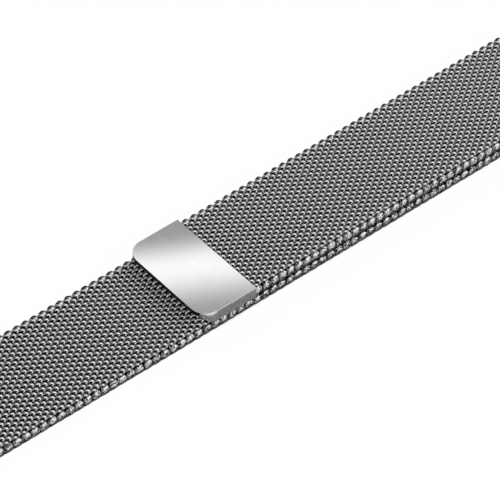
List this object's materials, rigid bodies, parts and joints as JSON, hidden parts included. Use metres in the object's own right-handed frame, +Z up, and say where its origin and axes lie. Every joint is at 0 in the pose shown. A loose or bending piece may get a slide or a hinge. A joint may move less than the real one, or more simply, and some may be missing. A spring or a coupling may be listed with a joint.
{
  "type": "watch band",
  "caption": "Milanese steel mesh watch band lying closed: woven strap folded back through a slotted loop, magnetic tab clasp, quick-release spring bars at both ends.",
  "frame": {"origin": "Middle of the closed band's footprint, on the surface it lies on.", "axes": "+X runs along the strap from the fixed end to the loop end, +Y across it toward the release levers, +Z up from the surface."},
  "size_m": [0.1691, 0.0254, 0.006],
  "materials": {
    "mesh_steel": "bright woven stainless wire",
    "polished_steel": "mirror polished stainless steel",
    "satin_steel": "satin stainless steel",
    "spring_steel": "bright spring wire",
    "magnet": "nickel plated magnet"
  },
  "bodies": {
    "strap_under_tab": {"strap_link_05": "mesh_steel"},
    "strap_left_1": {"strap_link_04": "mesh_steel"},
    "strap_left_2": {"strap_link_03": "mesh_steel"},
    "strap_left_3": {"strap_link_02": "mesh_steel"},
    "strap_left_4": {"strap_link_01": "mesh_steel", "end_clamp": "polished_steel", "end_bar_tube": "satin_steel", "end_bar_spring": "spring_steel"},
    "strap_right_1": {"strap_link_06": "mesh_steel"},
    "strap_right_2": {"strap_link_07": "mesh_steel"},
    "strap_right_3": {"strap_link_08": "mesh_steel"},
    "strap_right_4": {"strap_link_09": "mesh_steel"},
    "strap_right_5": {"strap_link_10": "mesh_steel"},
    "fold": {"strap_fold": "mesh_steel"},
    "tail_1": {"tail_link_01": "mesh_steel"},
    "tail_2": {"tail_link_02": "mesh_steel"},
    "tail_3": {"tail_link_03": "mesh_steel"},
    "tail_4": {"tail_link_04": "mesh_steel"},
    "tail_5": {"tail_link_05": "mesh_steel"},
    "tail_6": {"tail_link_06": "mesh_steel"},
    "tail_7": {"tail_link_07": "mesh_steel"},
    "tab": {"tail_end": "mesh_steel", "tab_shell": "polished_steel", "tab_bottom_plate": "satin_steel", "tab_magnets": "magnet"},
    "loop": {"loop_frame": "polished_steel", "loop_bar_tube": "satin_steel", "loop_bar_spring": "spring_steel"},
    "end_plain_tip_body": {"end_plain_tip": "satin_steel"},
    "end_release_tip_body": {"end_release_tip": "satin_steel"},
    "loop_plain_tip_body": {"loop_plain_tip": "satin_steel"},
    "loop_release_tip_body": {"loop_release_tip": "satin_steel"}
  },
  "joints": [
    {"name": "strap_bend_left_1", "type": "hinge", "parent": "strap_under_tab", "child": "strap_left_1", "pos_m": [-0.02825, 0, 0.00105], "axis": [0, -1, 0], "range_deg": [-15, 25]},
    {"name": "strap_bend_left_2", "type": "hinge", "parent": "strap_left_1", "child": "strap_left_2", "pos_m": [-0.04093, 0, 0.00105], "axis": [0, -1, 0], "range_deg": [-15, 25]},
    {"name": "strap_bend_left_3", "type": "hinge", "parent": "strap_left_2", "child": "strap_left_3", "pos_m": [-0.0536, 0, 0.00105], "axis": [0, -1, 0], "range_deg": [-15, 25]},
    {"name": "strap_bend_left_4", "type": "hinge", "parent": "strap_left_3", "child": "strap_left_4", "pos_m": [-0.06628, 0, 0.00105], "axis": [0, -1, 0], "range_deg": [-15, 25]},
    {"name": "strap_bend_right_1", "type": "hinge", "parent": "strap_under_tab", "child": "strap_right_1", "pos_m": [0.0017, 0, 0.00105], "axis": [0, 1, 0], "range_deg": [0, 15]},
    {"name": "strap_bend_right_2", "type": "hinge", "parent": "strap_right_1", "child": "strap_right_2", "pos_m": [0.01437, 0, 0.00105], "axis": [0, 1, 0], "range_deg": [0, 15]},
    {"name": "strap_bend_right_3", "type": "hinge", "parent": "strap_right_2", "child": "strap_right_3", "pos_m": [0.02705, 0, 0.00105], "axis": [0, 1, 0], "range_deg": [0, 15]},
    {"name": "strap_bend_right_4", "type": "hinge", "parent": "strap_right_3", "child": "strap_right_4", "pos_m": [0.03972, 0, 0.00105], "axis": [0, 1, 0], "range_deg": [0, 15]},
    {"name": "strap_bend_right_5", "type": "hinge", "parent": "strap_right_4", "child": "strap_right_5", "pos_m": [0.0524, 0, 0.00105], "axis": [0, 1, 0], "range_deg": [0, 15]},
    {"name": "strap_bend_right_6", "type": "hinge", "parent": "strap_right_5", "child": "fold", "pos_m": [0.06507, 0, 0.00105], "axis": [0, 1, 0], "range_deg": [0, 15]},
    {"name": "tail_lift", "type": "hinge", "parent": "fold", "child": "tail_1", "pos_m": [0.06897, 0, 0.00325], "axis": [0, 1, 0], "range_deg": [0, 45]},
    {"name": "tail_bend_6", "type": "hinge", "parent": "tail_1", "child": "tail_2", "pos_m": [0.06421, 0, 0.00325], "axis": [0, 1, 0], "range_deg": [-15, 0]},
    {"name": "tail_bend_5", "type": "hinge", "parent": "tail_2", "child": "tail_3", "pos_m": [0.05097, 0, 0.00325], "axis": [0, 1, 0], "range_deg": [-15, 0]},
    {"name": "tail_bend_4", "type": "hinge", "parent": "tail_3", "child": "tail_4", "pos_m": [0.03772, 0, 0.00325], "axis": [0, 1, 0], "range_deg": [-15, 0]},
    {"name": "tail_bend_3", "type": "hinge", "parent": "tail_4", "child": "tail_5", "pos_m": [0.02448, 0, 0.00325], "axis": [0, 1, 0], "range_deg": [-15, 0]},
    {"name": "tail_bend_2", "type": "hinge", "parent": "tail_5", "child": "tail_6", "pos_m": [0.01123, 0, 0.00325], "axis": [0, 1, 0], "range_deg": [-15, 0]},
    {"name": "tail_bend_1", "type": "hinge", "parent": "tail_6", "child": "tail_7", "pos_m": [-0.00201, 0, 0.00325], "axis": [0, 1, 0], "range_deg": [-15, 0]},
    {"name": "tab_peel", "type": "hinge", "parent": "tail_7", "child": "tab", "pos_m": [-0.01, 0, 0.00325], "axis": [0, 1, 0], "range_deg": [0, 45]},
    {"name": "loop_rock", "type": "hinge", "parent": "fold", "child": "loop", "pos_m": [0.07607, 0, 0.00295], "axis": [0, -1, 0], "range_deg": [-35, 60]},
    {"name": "end_plain_tip_slide", "type": "slide", "parent": "strap_left_4", "child": "end_plain_tip_body", "axis": [0, 1, 0], "range_m": [0, 0.0015], "stiffness_N_per_m": 400, "springref_m": -0.002},
    {"name": "end_release_tip_slide", "type": "slide", "parent": "strap_left_4", "child": "end_release_tip_body", "axis": [0, -1, 0], "range_m": [0, 0.0015], "stiffness_N_per_m": 400, "springref_m": -0.002},
    {"name": "loop_plain_tip_slide", "type": "slide", "parent": "loop", "child": "loop_plain_tip_body", "axis": [0, 1, 0], "range_m": [0, 0.0015], "stiffness_N_per_m": 400, "springref_m": -0.002},
    {"name": "loop_release_tip_slide", "type": "slide", "parent": "loop", "child": "loop_release_tip_body", "axis": [0, -1, 0], "range_m": [0, 0.0015], "stiffness_N_per_m": 400, "springref_m": -0.002}
  ],
  "couplings": [
    {"joint": "tail_bend_6", "follows": "strap_bend_right_6", "ratio": -1},
    {"joint": "tail_bend_5", "follows": "strap_bend_right_5", "ratio": -1},
    {"joint": "tail_bend_4", "follows": "strap_bend_right_4", "ratio": -1},
    {"joint": "tail_bend_3", "follows": "strap_bend_right_3", "ratio": -1},
    {"joint": "tail_bend_2", "follows": "strap_bend_right_2", "ratio": -1},
    {"joint": "tail_bend_1", "follows": "strap_bend_right_1", "ratio": -1}
  ]
}
